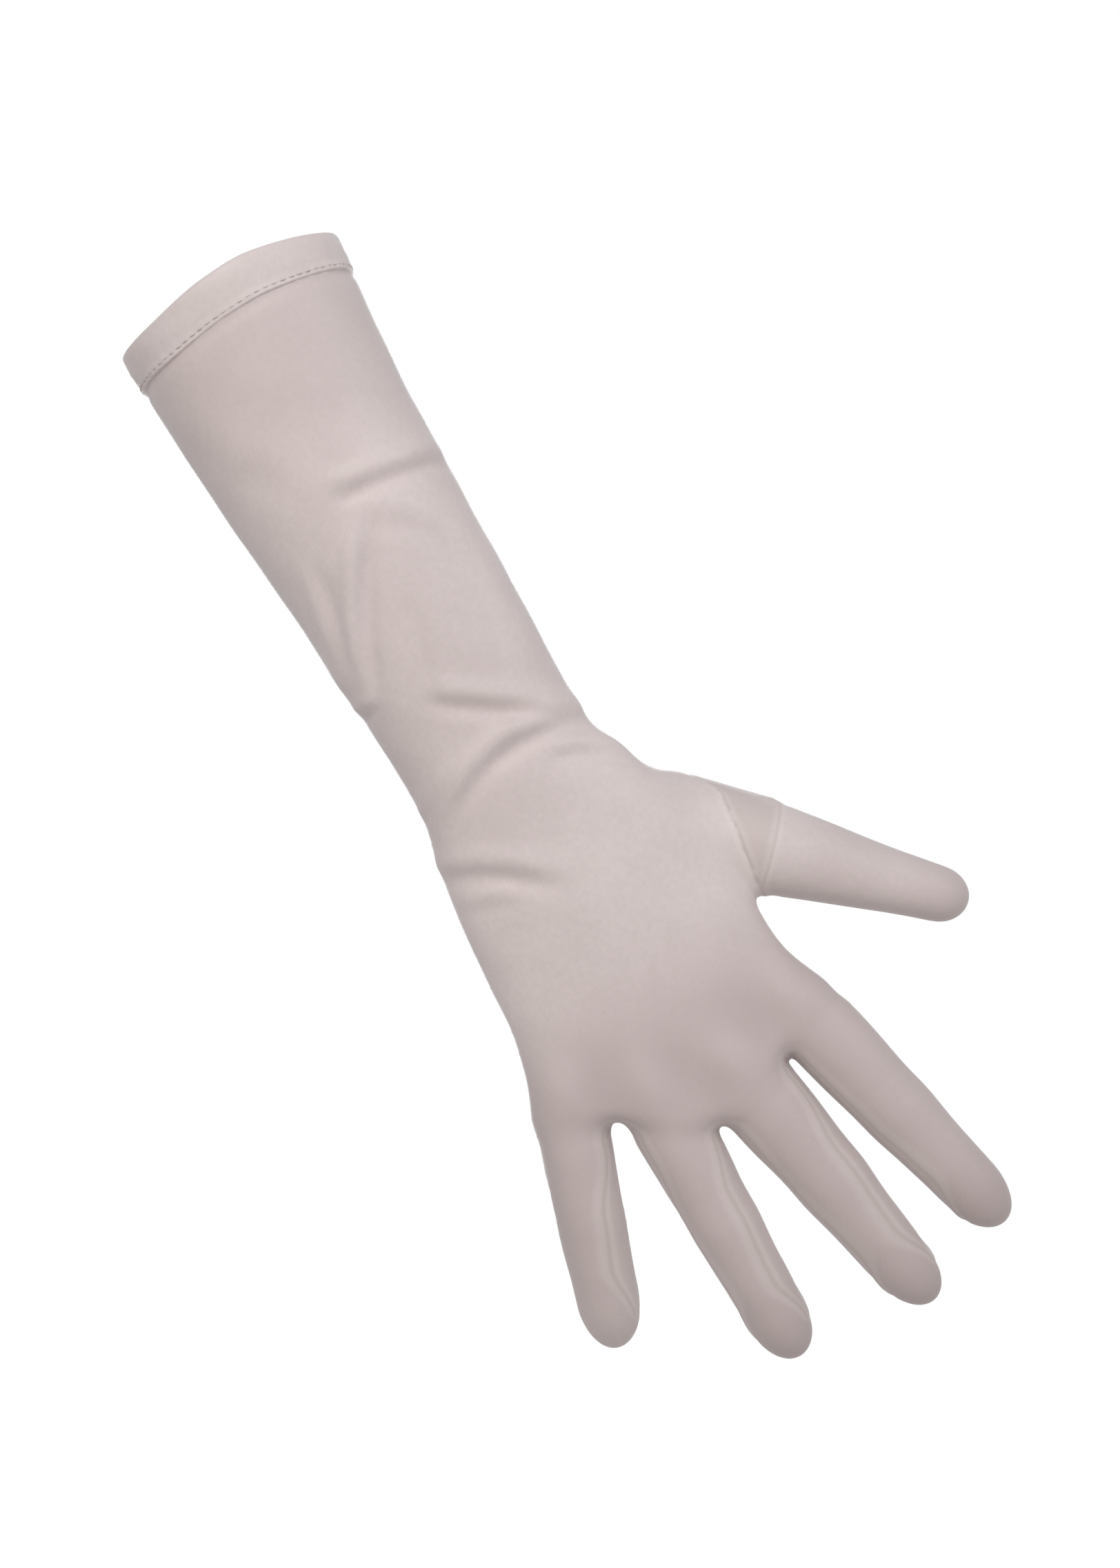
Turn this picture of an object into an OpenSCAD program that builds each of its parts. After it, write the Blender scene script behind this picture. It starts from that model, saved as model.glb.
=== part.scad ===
// Elbow-length opera glove for a right hand, in the shape it has when it is worn.
// +Z points up the arm, the fingers point down, the back of the hand faces -Y and the thumb is on +X.
// The origin is the middle of the sleeve's mouth. The cloth panels meet edge to edge at their seams.

/* [Sleeve] */
// Width of the glove across the hem
hem_width = 71; // [66:1:76]
// Depth of the glove at the hem, from back to palm
hem_depth = 62; // [56:1:66]
// Height of the turned-in hem
hem_height = 11; // [8:1:16]
// Width of the glove at the wrist
wrist_width = 54.5; // [52:0.5:58]
// Depth of the glove at the wrist
wrist_depth = 39; // [36:1:42]
// Distance from the hem's edge down to the wrist's bending line
wrist_at = 158; // [155:1:162]

/* [Hand] */
// Depth of the hand at the knuckles
hand_depth = 27; // [25:1:29]
// Distance from the hem's edge down to the knuckles' bending line, in the middle of the hand
knuckles_at = 245; // [243:1:247]
// Slant of the knuckles' bending line, lower on the thumb's side
knuckle_slant = 8; // [6:1:10]

/* [Fingers] */
// Length of the index finger, from its root to its tip
index_length = 76.5; // [72:0.5:80]
// Length of the middle finger
middle_length = 80; // [76:0.5:84]
// Length of the ring finger
ring_length = 77; // [73:0.5:81]
// Length of the little finger
little_length = 62; // [58:0.5:66]
// Length of the thumb, from the level of its web to its tip
thumb_length = 62; // [60:0.5:66]
// Width of the side panels between the fingers
fourchette_width = 8.6; // [7:0.2:10]

/* [Cloth] */
// Thickness of one layer of cloth
cloth = 0.8; // [0.6:0.1:1]
// Number of stitches round the hem
hem_stitches = 56; // [40:1:70]

/* [Hidden] */

white = "#d9cfca";
pale = "#cdc2bd";
shade = "#bfb3ae";

// Clear distance between pieces on different bodies
gap = 0.4;
// Length of cloth that creases at each bend
wrist_zone = 40;
knuckle_zone = 26;
finger_zone = 20;
thumb_zone = 20;
thumb_tip_zone = 14;
// Where each finger's middle joint is, from the finger's root
finger_joint = 26;
// Where the thumb's two joints are, from the level of its web
thumb_joint = 8;
thumb_tip_joint = 33;
// The cross-section's corner: 1 is an ellipse, less is squarer
squareness = 0.86;
// Pieces of each arc round a panel, and rings along a limb
arc_steps = 5;
// The hem's stitches
stitch_length = 3;
stitch_thick = 0.5;
// Steps in a panel's length on the sleeve
sleeve_steps = 8;
// Shape of the limb ends: how far before the tip a finger starts to round off, in tip half-widths
tip_round = 1.25;
tip_hole = 0.04;
// The thumb's gusset, as angles round the thumb, and how far it runs up from the web
gusset_from = 150;
gusset_to = 215;
gusset_length = 22;
// How deep in the hand the thumb's tube starts, above the level of its web
thumb_start = 40;

// The glove's outline across: [distance below the hem's edge, x]
little_edge = [[0, -hem_width / 2], [50, -33.5], [100, -30.5], [wrist_at - 8, -28.2], [wrist_at + 2, -28.6],
    [172, -32], [185, -34], [205, -36.5], [225, -38], [240, -41.5], [250, -45], [262, -49.5]];
thumb_edge = [[0, hem_width / 2], [50, 30.5], [100, 28.5], [wrist_at - 8, wrist_width - 28.2],
    [wrist_at + 2, wrist_width - 27.5], [172, 32.5], [185, 36.5], [205, 39.5], [225, 41.5], [240, 41.8],
    [250, 44], [262, 47.5], [275, 51]];
// Half of the depth, from back to palm
depth_line = [[0, hem_depth / 2], [50, 27.5], [100, 23.5], [wrist_at - 8, wrist_depth / 2], [172, 18.3],
    [185, 17], [205, 15.6], [225, 14.6], [knuckles_at, hand_depth / 2], [262, 11.5], [280, 10]];

// Each limb: [root x, root y, root distance below the hem, heading in degrees towards the thumb's side,
// roll in degrees, length, half-width at the root, half-width near the tip, depth share, drop to the palm]
little = [-38, 0.5, 260, -17, 28, little_length, 10.3, 8.3, 0.92, 9];
ring = [-13.3, 0, 272, -1, 22, ring_length, 10.6, 8.7, 0.92, 8];
middle = [14.7, 0, 277, 9.3, 14, middle_length, 12.4, 8.2, 0.88, 7];
index = [39.5, 0.5, 270, 13.3, 0, index_length, 11.5, 8.2, 0.9, 8];
thumb = [51.7, 8, 215.3, 44.5, -50, thumb_length, 14.2, 7.4, 0.93, 6];
fingers = [little, ring, middle, index];

// ---- points on the glove ----

function power(c) = sign(c) * pow(abs(c), squareness);
function smooth(x) = let(t = max(0, min(1, x))) t * t * (3 - 2 * t);

// A point round the arm or hand. Angle 0 is the thumb's side, 90 the back, 180 the little finger's side.
function arm_point(s, angle, out = 0) =
    let(left = lookup(s, little_edge), right = lookup(s, thumb_edge), depth = lookup(s, depth_line))
    [(left + right) / 2 + ((right - left) / 2 + out) * power(cos(angle)),
     -(depth + out) * power(sin(angle)), -s];

// The directions of a limb: along it, across it towards the thumb's side, and out of its back
function along(limb) = [sin(limb[3]), 0, -cos(limb[3])];
function flat_across(limb) = [cos(limb[3]), 0, sin(limb[3])];
function across(limb, roll) = flat_across(limb) * cos(roll) - [0, sin(roll), 0];
function outward(limb, roll) = -flat_across(limb) * sin(roll) - [0, cos(roll), 0];

// Where the middle of a limb is at a distance from its root
function middle_line(limb, t) =
    [limb[0], limb[1], -limb[2]] + along(limb) * t + [0, limb[9] * pow(max(0, t) / limb[5], 2), 0];

// Half of a limb's width at a distance from its root, rounded off at the tip
function half_width(limb, t) =
    let(taper = limb[6] + (limb[7] - limb[6]) * pow(max(0, min(1, t / (limb[5] - limb[7]))), 0.75),
        cap = tip_round * limb[7], into = max(0, min(1, (t - limb[5] + cap) / cap)))
    taper * sqrt(max(tip_hole * tip_hole, 1 - into * into));

// The thumb keeps its roll; a finger rolls from nothing at its root
function roll_at(limb, t) = limb == thumb ? limb[4] : limb[4] * smooth(t / 16);

function limb_point(limb, t, angle, out = 0) =
    let(roll = roll_at(limb, t), half = half_width(limb, t), wide = max(0.3, half + out),
        deep = max(0.3, half * limb[8] + out))
    middle_line(limb, t) + across(limb, roll) * wide * cos(angle) + outward(limb, roll) * deep * sin(angle);

// The angle round a finger at which a side panel's seam runs
seam_angle = asin(fourchette_width / 2 / 9.4);

// The back panel's angles on a finger, from the little finger's side to the thumb's side
function back_from(limb) = limb == little ? 180 : 180 - seam_angle;
function back_to(limb) = limb == index ? 0 : seam_angle;

function steps(from, to, count) = [for (k = [0:count]) from + (to - from) * k / count];

// ---- solids ----

// A thick sheet between two grids of points, closed round its edges. A ring sheet joins its first and last
// columns. From row slit_row on, the columns named in slits are left open, as they are between the fingers.
module sheet(outer, inner, ring = false, slits = [], slit_row = 0) {
    rows = len(outer);
    cols = len(outer[0]);
    last = ring ? cols : cols - 1;
    function at(side, i, j) = side * rows * cols + i * cols + j % cols;
    function cell(i, j) = let(k = ring ? (j + cols) % cols : j)
        i >= 0 && i < rows - 1 && k >= 0 && k < last && !(i >= slit_row && len(search(k, slits)) > 0);
    function quad(a, b, c, d) = [[a, b, c], [a, c, d]];
    polyhedron(
        points = [for (grid = [outer, inner]) for (row = grid) each row],
        faces = [for (i = [0:rows - 2]) for (j = [0:last - 1]) if (cell(i, j)) each concat(
            quad(at(0, i, j), at(0, i, j + 1), at(0, i + 1, j + 1), at(0, i + 1, j)),
            quad(at(1, i, j + 1), at(1, i, j), at(1, i + 1, j), at(1, i + 1, j + 1)),
            cell(i - 1, j) ? [] : quad(at(0, i, j + 1), at(0, i, j), at(1, i, j), at(1, i, j + 1)),
            cell(i + 1, j) ? [] : quad(at(0, i + 1, j), at(0, i + 1, j + 1), at(1, i + 1, j + 1), at(1, i + 1, j)),
            cell(i, j - 1) ? [] : quad(at(0, i, j), at(0, i + 1, j), at(1, i + 1, j), at(1, i, j)),
            cell(i, j + 1) ? [] : quad(at(0, i + 1, j + 1), at(0, i, j + 1), at(1, i, j + 1), at(1, i + 1, j + 1)))]);
}

// Part of a limb's wall, between two distances and two angles
module limb_wall(limb, t0, t1, from, to, count, rows, grow = 0, ring = false) {
    angles = ring ? [for (k = [0:count - 1]) from + (to - from) * k / count] : steps(from, to, count);
    sheet([for (t = steps(t0, t1, rows)) [for (a = angles) limb_point(limb, t, a, grow)]],
        [for (t = steps(t0, t1, rows)) [for (a = angles) limb_point(limb, t, a, grow - cloth)]], ring);
}

// Part of the sleeve's wall
module sleeve_wall(s0, s1, from, to, count, rows, grow = 0, thick = cloth) {
    sheet([for (s = steps(s0, s1, rows)) [for (a = steps(from, to, count)) arm_point(s, a, grow)]],
        [for (s = steps(s0, s1, rows)) [for (a = steps(from, to, count)) arm_point(s, a, grow - thick)]]);
}

// One column of a hand panel for every point along the finger roots. Side 1 is the back, -1 the palm.
function root_columns(side) = [for (limb = fingers)
    each [for (a = steps(back_from(limb), back_to(limb), arc_steps)) [limb, side > 0 ? a : 360 - a]]];
slits = [for (k = [1:3]) k * (arc_steps + 1) - 1];

// Where a column ends at the finger roots, and how far across the hand it is, from -1 to 1
function root_of(column, out = 0) = limb_point(column[0], 0, column[1], out);
root_left = root_of([little, 180])[0];
root_right = root_of([index, 0])[0];
function share_across(column) = 2 * (root_of(column)[0] - root_left) / (root_right - root_left) - 1;

// Where a column crosses a line parallel to the knuckles', as a distance below the hem
function knuckle_line(column, move) = knuckles_at + tan(knuckle_slant) * root_of(column)[0] + move;
hand_start = wrist_at + wrist_zone / 2;

// A point of a hand panel, at a share of the way from the wrist to the finger roots
function hand_point(column, share, out) =
    let(root = root_of(column, out), end = -root_of(column)[2], r = share_across(column),
        round = acos(sign(r) * pow(abs(r), 1 / squareness)),
        angle = column[1] > 180 ? 360 - round : round)
    arm_point(hand_start + (end - hand_start) * share, angle, out)
        + (root - arm_point(end, angle, out)) * smooth((share - 0.45) / 0.55);
function share_at(column, s) = (s - hand_start) / (-root_of(column)[2] - hand_start);

// Rows of points of a hand panel, between two distances each given by a move from the knuckles' line, or by
// undef for the wrist or for the finger roots
function hand_rows(columns, from, to, count, out) = [for (v = steps(0, 1, count)) [for (c = columns)
    let(a = is_undef(from) ? 0 : share_at(c, knuckle_line(c, from)),
        b = is_undef(to) ? 1 : share_at(c, knuckle_line(c, to)))
    hand_point(c, a + (b - a) * v, out)]];

// Rows of points along the fingers, from their roots to their folds
function strip_rows(columns, out) = [for (t = steps(0, finger_joint - finger_zone / 2, 3))
    if (t > 0) [for (c = columns) limb_point(c[0], t, c[1], out)]];

module hand_panel(side, from, to, count) {
    columns = root_columns(side);
    outer = hand_rows(columns, from, to, count, 0);
    inner = hand_rows(columns, from, to, count, -cloth);
    if (side > 0) sheet(outer, inner); else sheet(inner, outer);
}

// The hand's whole outer volume up to the knuckles, that the thumb's tube is cut against
module hand_volume() {
    back = root_columns(1);
    palm = root_columns(-1);
    ring_columns = concat(back, [for (i = [len(palm) - 2:-1:1]) palm[i]]);
    rows = hand_rows(ring_columns, undef, 0, 8, 0);
    wide = concat([for (p = rows[0]) [p[0], p[1], p[2] + 4]], []);
    grid = concat([wide], rows);
    count = len(ring_columns);
    middles = [for (row = [grid[0], grid[len(grid) - 1]]) [0, 0, row[0][2]]];
    total = len(grid) * count;
    polyhedron(points = concat([for (row = grid) each row], middles), faces = concat(
        [for (i = [0:len(grid) - 2]) for (j = [0:count - 1])
            let(a = i * count + j, b = i * count + (j + 1) % count, c = b + count, d = a + count)
            each [[a, b, c], [a, c, d]]],
        [for (j = [0:count - 1]) [(j + 1) % count, j, total]],
        [for (j = [0:count - 1]) [total - count + j, total - count + (j + 1) % count, total + 1]]));
}

// The space inside the thumb's tube, which leaves the thumb hole open
module thumb_space() {
    hull() for (t = [-thumb_start, -gap])
        for (a = [0:30:330]) translate(limb_point(thumb, t, a, -cloth)) cube(0.02, center = true);
}

// ---- the sleeve ----

module hem_band() {
    color(pale) sheet(
        [for (s = [0, hem_height / 2, hem_height]) [for (a = [0:10:350]) arm_point(s, a, cloth / 2)]],
        [for (s = [0, hem_height / 2, hem_height]) [for (a = [0:10:350]) arm_point(s, a, -1.5 * cloth)]], true);
}

module hem_thread() {
    color(shade) for (k = [0:hem_stitches - 1]) {
        angle = 360 * (k + 0.5) / hem_stitches;
        here = arm_point(hem_height + 1.5, angle, stitch_thick / 2 + 0.02);
        next = arm_point(hem_height + 1.5, angle + 1, stitch_thick / 2 + 0.02);
        translate(here) rotate([0, 0, atan2(next[1] - here[1], next[0] - here[0])])
            cube([stitch_length, stitch_thick, stitch_thick], center = true);
    }
}

module sleeve_panel(from, to) {
    sleeve_wall(hem_height, wrist_at - wrist_zone / 2, from, to, 12, sleeve_steps);
}

module wrist_folds() {
    color(shade) sheet(
        [for (s = steps(wrist_at - wrist_zone / 2 + gap, wrist_at + wrist_zone / 2 - gap, 4))
            [for (a = [0:15:345]) arm_point(s, a)]],
        [for (s = steps(wrist_at - wrist_zone / 2 + gap, wrist_at + wrist_zone / 2 - gap, 4))
            [for (a = [0:15:345]) arm_point(s, a, -cloth)]], true);
}

// ---- the hand ----

module hand_side(side) {
    difference() {
        hand_panel(side, undef, -knuckle_zone / 2, 8);
        thumb_space();
    }
}

module knuckle_folds() {
    color(shade) for (side = [1, -1]) hand_panel(side, gap - knuckle_zone / 2, knuckle_zone / 2 - gap, 4);
}

// The far end of a hand panel, with its strips along the fingers as far as their folds
module knuckles_side(side) {
    columns = root_columns(side);
    outer = concat(hand_rows(columns, knuckle_zone / 2, undef, 2, 0), strip_rows(columns, 0));
    inner = concat(hand_rows(columns, knuckle_zone / 2, undef, 2, -cloth), strip_rows(columns, -cloth));
    if (side > 0) sheet(outer, inner, false, slits, 2); else sheet(inner, outer, false, slits, 2);
}

// The back or palm panel's strip along a finger
module finger_strip(limb, side, t0, t1, rows = 3) {
    from = side > 0 ? back_from(limb) : 360 - back_to(limb);
    to = side > 0 ? back_to(limb) : 360 - back_from(limb);
    limb_wall(limb, t0, t1, from, to, arc_steps, rows);
}

// The side panel on the thumb's side of a finger, or on the little finger's side
module side_strip(limb, thumb_side, t0, t1, rows = 3) {
    middle_angle = thumb_side ? 0 : 180;
    limb_wall(limb, t0, t1, middle_angle + seam_angle, middle_angle - seam_angle, 2, rows);
}

// A side panel between two fingers: one strip up each, joined by a web at the roots
module fourchette(limb, next) {
    turns = [seam_angle, 0, -seam_angle];
    ts = steps(0, finger_joint - finger_zone / 2, 3);
    function web(out) = [for (a = turns) (limb_point(limb, 0, a, out) + limb_point(next, 0, 180 - a, out)) / 2
        - [0, 0, cloth + 0.05 + out]];
    function rows(out) = concat(
        [for (i = [len(ts) - 1:-1:0]) [for (a = turns) limb_point(limb, ts[i], a, out)]],
        [web(out)],
        [for (t = ts) [for (a = turns) limb_point(next, t, 180 - a, out)]]);
    color(pale) sheet(rows(-cloth), rows(0));
}

// ---- the fingers ----

module finger_fold(limb) {
    color(shade) limb_wall(limb, finger_joint - finger_zone / 2 + gap, finger_joint + finger_zone / 2 - gap,
        360, 0, 16, 4, 0, true);
}

module finger_tip(limb, side) {
    finger_strip(limb, side, finger_joint + finger_zone / 2, limb[5], 9);
}

module tip_fourchettes(limb, sides) {
    color(pale) for (thumb_side = sides)
        side_strip(limb, thumb_side, finger_joint + finger_zone / 2, limb[5], 9);
}

// ---- the thumb ----

module thumb_wall(from, to, count, t0, t1, rows) {
    difference() {
        limb_wall(thumb, t0, t1, from, to, count, rows);
        hand_volume();
    }
}

module thumb_ring(t0, t1, rows) {
    limb_wall(thumb, t0, t1, 360, 0, 18, rows, 0, true);
}

module thumb_root() {
    end = thumb_joint - thumb_zone / 2;
    color(white) union() {
        thumb_wall(gusset_from, gusset_to - 360, 12, -thumb_start, end, 4);
        thumb_wall(gusset_to, gusset_from, 4, -thumb_start, end - gusset_length, 3);
    }
}

module thumb_gusset() {
    end = thumb_joint - thumb_zone / 2;
    color(pale) thumb_wall(gusset_to, gusset_from, 4, end - gusset_length, end, 3);
}

hem_band();
hem_thread();
color(white) sleeve_panel(180, 0);  // sleeve_back
color(white) sleeve_panel(360, 180);  // sleeve_palm
wrist_folds();
color(white) hand_side(1);  // hand_back
color(white) hand_side(-1);  // hand_palm
thumb_root();
thumb_gusset();
knuckle_folds();
color(white) knuckles_side(1);  // knuckles_back
color(white) knuckles_side(-1);  // knuckles_palm
fourchette(little, ring);  // fourchette_little_ring
fourchette(ring, middle);  // fourchette_ring_middle
fourchette(middle, index);  // fourchette_middle_index
finger_fold(index);  // index_fold
color(white) finger_tip(index, 1);  // index_tip_back
color(white) finger_tip(index, -1);  // index_tip_palm
tip_fourchettes(index, [false]);  // index_tip_fourchette
finger_fold(middle);  // middle_fold
color(white) finger_tip(middle, 1);  // middle_tip_back
color(white) finger_tip(middle, -1);  // middle_tip_palm
tip_fourchettes(middle, [true, false]);  // middle_tip_fourchettes
finger_fold(ring);  // ring_fold
color(white) finger_tip(ring, 1);  // ring_tip_back
color(white) finger_tip(ring, -1);  // ring_tip_palm
tip_fourchettes(ring, [true, false]);  // ring_tip_fourchettes
finger_fold(little);  // little_fold
color(white) finger_tip(little, 1);  // little_tip_back
color(white) finger_tip(little, -1);  // little_tip_palm
tip_fourchettes(little, [true]);  // little_tip_fourchette
color(shade) thumb_ring(thumb_joint - thumb_zone / 2 + gap, thumb_joint + thumb_zone / 2 - gap, 4);  // thumb_knuckle_fold
color(white) thumb_ring(thumb_joint + thumb_zone / 2, thumb_tip_joint - thumb_tip_zone / 2, 2);  // thumb_base
color(shade) thumb_ring(thumb_tip_joint - thumb_tip_zone / 2 + gap, thumb_tip_joint + thumb_tip_zone / 2 - gap, 4);  // thumb_middle_fold
color(white) thumb_ring(thumb_tip_joint + thumb_tip_zone / 2, thumb[5], 8);  // thumb_tip
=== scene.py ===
# %% [markdown]
# An elbow-length opera glove for the right hand, in stretch satin, in the shape it has when it is worn. The
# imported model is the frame: it says where each joint, panel and edge is. Everything made here goes over it
# in the same coordinates, so nothing has to be fitted afterwards. Lengths below are in millimetres, because
# a glove pattern is, and one factor turns them into Blender's metres at the end.

# %% Load the frame
import math

import bmesh
import bpy
import numpy as np
from mathutils import Matrix, Vector


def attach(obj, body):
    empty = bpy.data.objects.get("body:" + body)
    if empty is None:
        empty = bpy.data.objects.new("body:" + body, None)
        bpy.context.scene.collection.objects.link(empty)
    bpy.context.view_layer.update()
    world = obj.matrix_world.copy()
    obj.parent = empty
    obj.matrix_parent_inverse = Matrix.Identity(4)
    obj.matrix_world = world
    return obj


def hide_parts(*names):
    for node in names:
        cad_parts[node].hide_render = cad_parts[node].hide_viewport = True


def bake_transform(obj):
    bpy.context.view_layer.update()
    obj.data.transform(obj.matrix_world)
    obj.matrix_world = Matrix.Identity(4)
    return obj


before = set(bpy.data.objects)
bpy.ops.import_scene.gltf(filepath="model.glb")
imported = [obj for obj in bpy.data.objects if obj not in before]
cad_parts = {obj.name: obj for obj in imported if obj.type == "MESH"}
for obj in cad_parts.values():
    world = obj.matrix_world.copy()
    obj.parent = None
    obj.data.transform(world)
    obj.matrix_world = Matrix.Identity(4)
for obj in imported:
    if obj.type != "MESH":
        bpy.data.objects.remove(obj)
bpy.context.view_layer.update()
MM = 0.001

# %% [markdown]
# The camera looks straight at the back of the hand. It is turned in its own plane, so the forearm comes in
# from the top left and the fingers point to the bottom right. A distance of 0.85 m gives the hem its gentle
# arch, because the near edge of the round mouth is seen from a little below. The lens is chosen so that the
# picture shows 0.455 m from bottom to top.

# %% Camera
TURN = math.radians(30.65)  # how far the forearm leans from the picture's vertical
CAMERA_DISTANCE = 0.85
PICTURE_HEIGHT = 0.4548
SENSOR = 36  # mm
picture_right = Vector((math.cos(TURN), 0, -math.sin(TURN)))
picture_up = Vector((math.sin(TURN), 0, math.cos(TURN)))
picture_middle = Vector((0.0105, 0, -0.1699))
camera_data = bpy.data.cameras.new("camera")
camera = bpy.data.objects.new("camera", camera_data)
bpy.context.collection.objects.link(camera)
bpy.context.scene.camera = camera
camera.location = picture_middle + Vector((0, -CAMERA_DISTANCE, 0))
camera.rotation_mode = "QUATERNION"
turned = [[picture_right[i], picture_up[i], (0, -1, 0)[i]] for i in range(3)]
camera.rotation_quaternion = Matrix(turned).to_quaternion()
camera_data.sensor_width = SENSOR
camera_data.lens = SENSOR / (PICTURE_HEIGHT / CAMERA_DISTANCE)
print("lens", round(camera_data.lens, 1), "mm")

# %% [markdown]
# The studio is plain: a white surround and a pale floor well below the fingers. The main light is large and
# soft and stands above the back of the hand. A weaker one fills in from the thumb's side and a faint one
# from the little finger's side. One more stands behind, so the palm isn't black when the glove is turned
# round. Large lights keep the folds soft, as on a matte cloth.

# %% Colours and nodes
def linear(hex_colour):
    """An sRGB hex colour as the linear red, green, blue and alpha that Blender's sockets take."""
    parts = [int(hex_colour[i:i + 2], 16) / 255 for i in (1, 3, 5)]
    return [c / 12.92 if c <= 0.04045 else ((c + 0.055) / 1.055) ** 2.4 for c in parts] + [1.0]


def add_node(tree, kind, settings=None, **sockets):
    """Adds one node. Settings are its properties; sockets are values, or (node, output) to link from."""
    node = tree.nodes.new(kind)
    for name, value in (settings or {}).items():
        setattr(node, name, value)
    for name, value in sockets.items():
        socket = node.inputs[int(name[1:])] if name[0] == "_" else node.inputs[name.replace("_", " ")]
        if isinstance(value, tuple):
            tree.links.new(value[0].outputs[value[1]], socket)
        else:
            socket.default_value = value
    return node


# %% Studio
FLOOR_LEVEL, FLOOR_HALF = -0.46, 4
bpy.context.scene.view_settings.view_transform = "Standard"
world = bpy.data.worlds.new("studio")
bpy.context.scene.world = world
world.use_nodes = True
tree = world.node_tree
tree.nodes.clear()
path = add_node(tree, "ShaderNodeLightPath")
soft = add_node(tree, "ShaderNodeBackground", Color=linear("#fbfaff"), Strength=0.50)
seen = add_node(tree, "ShaderNodeBackground", Color=linear("#ffffff"), Strength=1.0)
both = add_node(tree, "ShaderNodeMixShader", _0=(path, "Is Camera Ray"), _1=(soft, 0), _2=(seen, 0))
add_node(tree, "ShaderNodeOutputWorld", Surface=(both, 0))

floor_mesh = bpy.data.meshes.new("floor")
floor_mesh.from_pydata([(x * FLOOR_HALF, y * FLOOR_HALF, FLOOR_LEVEL)
                        for x, y in ((-1, -1), (1, -1), (1, 1), (-1, 1))], [], [(0, 1, 2, 3)])
floor = bpy.data.objects.new("floor", floor_mesh)
bpy.context.collection.objects.link(floor)
floor_paint = bpy.data.materials.new("matte white floor paint")
floor_paint.use_nodes = True
tree = floor_paint.node_tree
tree.nodes.clear()
path = add_node(tree, "ShaderNodeLightPath")
chalk = add_node(tree, "ShaderNodeBsdfDiffuse", Color=linear("#d8d6d4"))
glow = add_node(tree, "ShaderNodeEmission", Color=linear("#ffffff"), Strength=1.0)
both = add_node(tree, "ShaderNodeMixShader", _0=(path, "Is Camera Ray"), _1=(chalk, 0), _2=(glow, 0))
add_node(tree, "ShaderNodeOutputMaterial", Surface=(both, 0))
floor_mesh.materials.append(floor_paint)


def soft_light(name, place, target, size, watts, colour):
    light = bpy.data.lights.new(name, "AREA")
    light.shape, light.size, light.energy = "DISK", size, watts
    light.color = linear(colour)[:3]
    lamp = bpy.data.objects.new(name, light)
    bpy.context.collection.objects.link(lamp)
    lamp.location = place
    lamp.rotation_mode = "QUATERNION"
    lamp.rotation_quaternion = (Vector(target) - Vector(place)).to_track_quat("-Z", "Y")


soft_light("window", (0.10, -1.2, 0.75), (0.0, 0, -0.17), 0.7, 10.5, "#fffcf8")
soft_light("fill", (1.1, -0.9, 0.1), (0.02, 0, -0.2), 1.0, 5.3, "#f6f8ff")
soft_light("side", (-1.1, -0.7, -0.2), (-0.01, 0, -0.2), 0.9, 1.1, "#fffaf4")
soft_light("behind", (0.0, 1.4, 0.0), (0.0, 0, -0.17), 0.9, 10, "#ffffff")

# %% [markdown]
# A worn glove is one smooth skin over an arm, a hand and five fingers. Lofting each tube and joining them
# by hand leaves creases at the webs between the fingers. So the shape is described by a field instead: a
# function that says how far a point is outside the cloth, and is zero on it. Tubes blend into each other
# when their fields are blended, which gives the webs their round crotch.

# %% Outline of the arm and hand
def smooth_line(points, reach=4.0):
    """A value along the glove, through the points given, with corners rounded over about reach mm."""
    at, values = zip(*points)
    s = np.arange(-60.0, 420.0, 1.0)
    weights = np.exp(-0.5 * (np.arange(-14, 15) / reach) ** 2)
    padded = np.pad(np.interp(s, at, values), 14, mode="edge")
    even = np.convolve(padded, weights / weights.sum(), mode="valid")
    return lambda where: np.interp(where, s, even)


# Distances run down from the hem's edge; x is towards the thumb, y towards the palm.
little_edge = smooth_line([(0, -35.5), (25, -35.2), (50, -33.9), (100, -30.7), (119, -29.8), (124, -28.6),
                           (150, -28.2), (160, -28.6), (172, -32), (185, -34), (205, -36.5), (225, -38),
                           (240, -41.5), (250, -45), (262, -49.5)])
thumb_edge = smooth_line([(0, 35.5), (20, 33.6), (50, 30.6), (100, 28.9), (150, 26.8), (160, 27),
                          (172, 32.5), (185, 36.5), (205, 39.5), (225, 41.3), (240, 41.2), (250, 43),
                          (262, 46.5), (275, 51)])
half_depth = smooth_line([(0, 31), (50, 27.5), (100, 23.5), (150, 19.5), (172, 18.3), (185, 17), (205, 15.6),
                          (225, 14.2), (245, 13), (262, 11), (280, 9.5)], 8)
# Across the hand, from the little finger's side: how far down from the hem the palm's own cloth reaches.
web_line = smooth_line([(-60, 246), (-46, 253), (-27, 260.5), (0, 278), (15, 275), (27, 269), (34, 267),
                        (46, 261), (60, 250)], 3)
CORNER = 2.33  # the cross-section's power: 2 is an ellipse, more is squarer


def smooth(x):
    """A soft step: 0 below 0, 1 above 1."""
    t = np.clip(x, 0, 1)
    return t * t * (3 - 2 * t)


def oval(u, v, a, b, power=2.0):
    """About how far (u, v) is outside an oval with half-axes a and b."""
    across, deep = np.abs(u) / a + 1e-6, np.abs(v) / b + 1e-6
    round_ = (across ** power + deep ** power) ** (1 / power)
    slope = round_ ** (1 - power) * np.hypot(across ** (power - 1) / a, deep ** (power - 1) / b)
    return (round_ - 1) / np.maximum(slope, 0.6 / np.maximum(a, b))


def arm_field(x, y, s):
    left, right = little_edge(s), thumb_edge(s)
    return oval(x - (left + right) / 2, y, (right - left) / 2, half_depth(s), CORNER)


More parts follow.
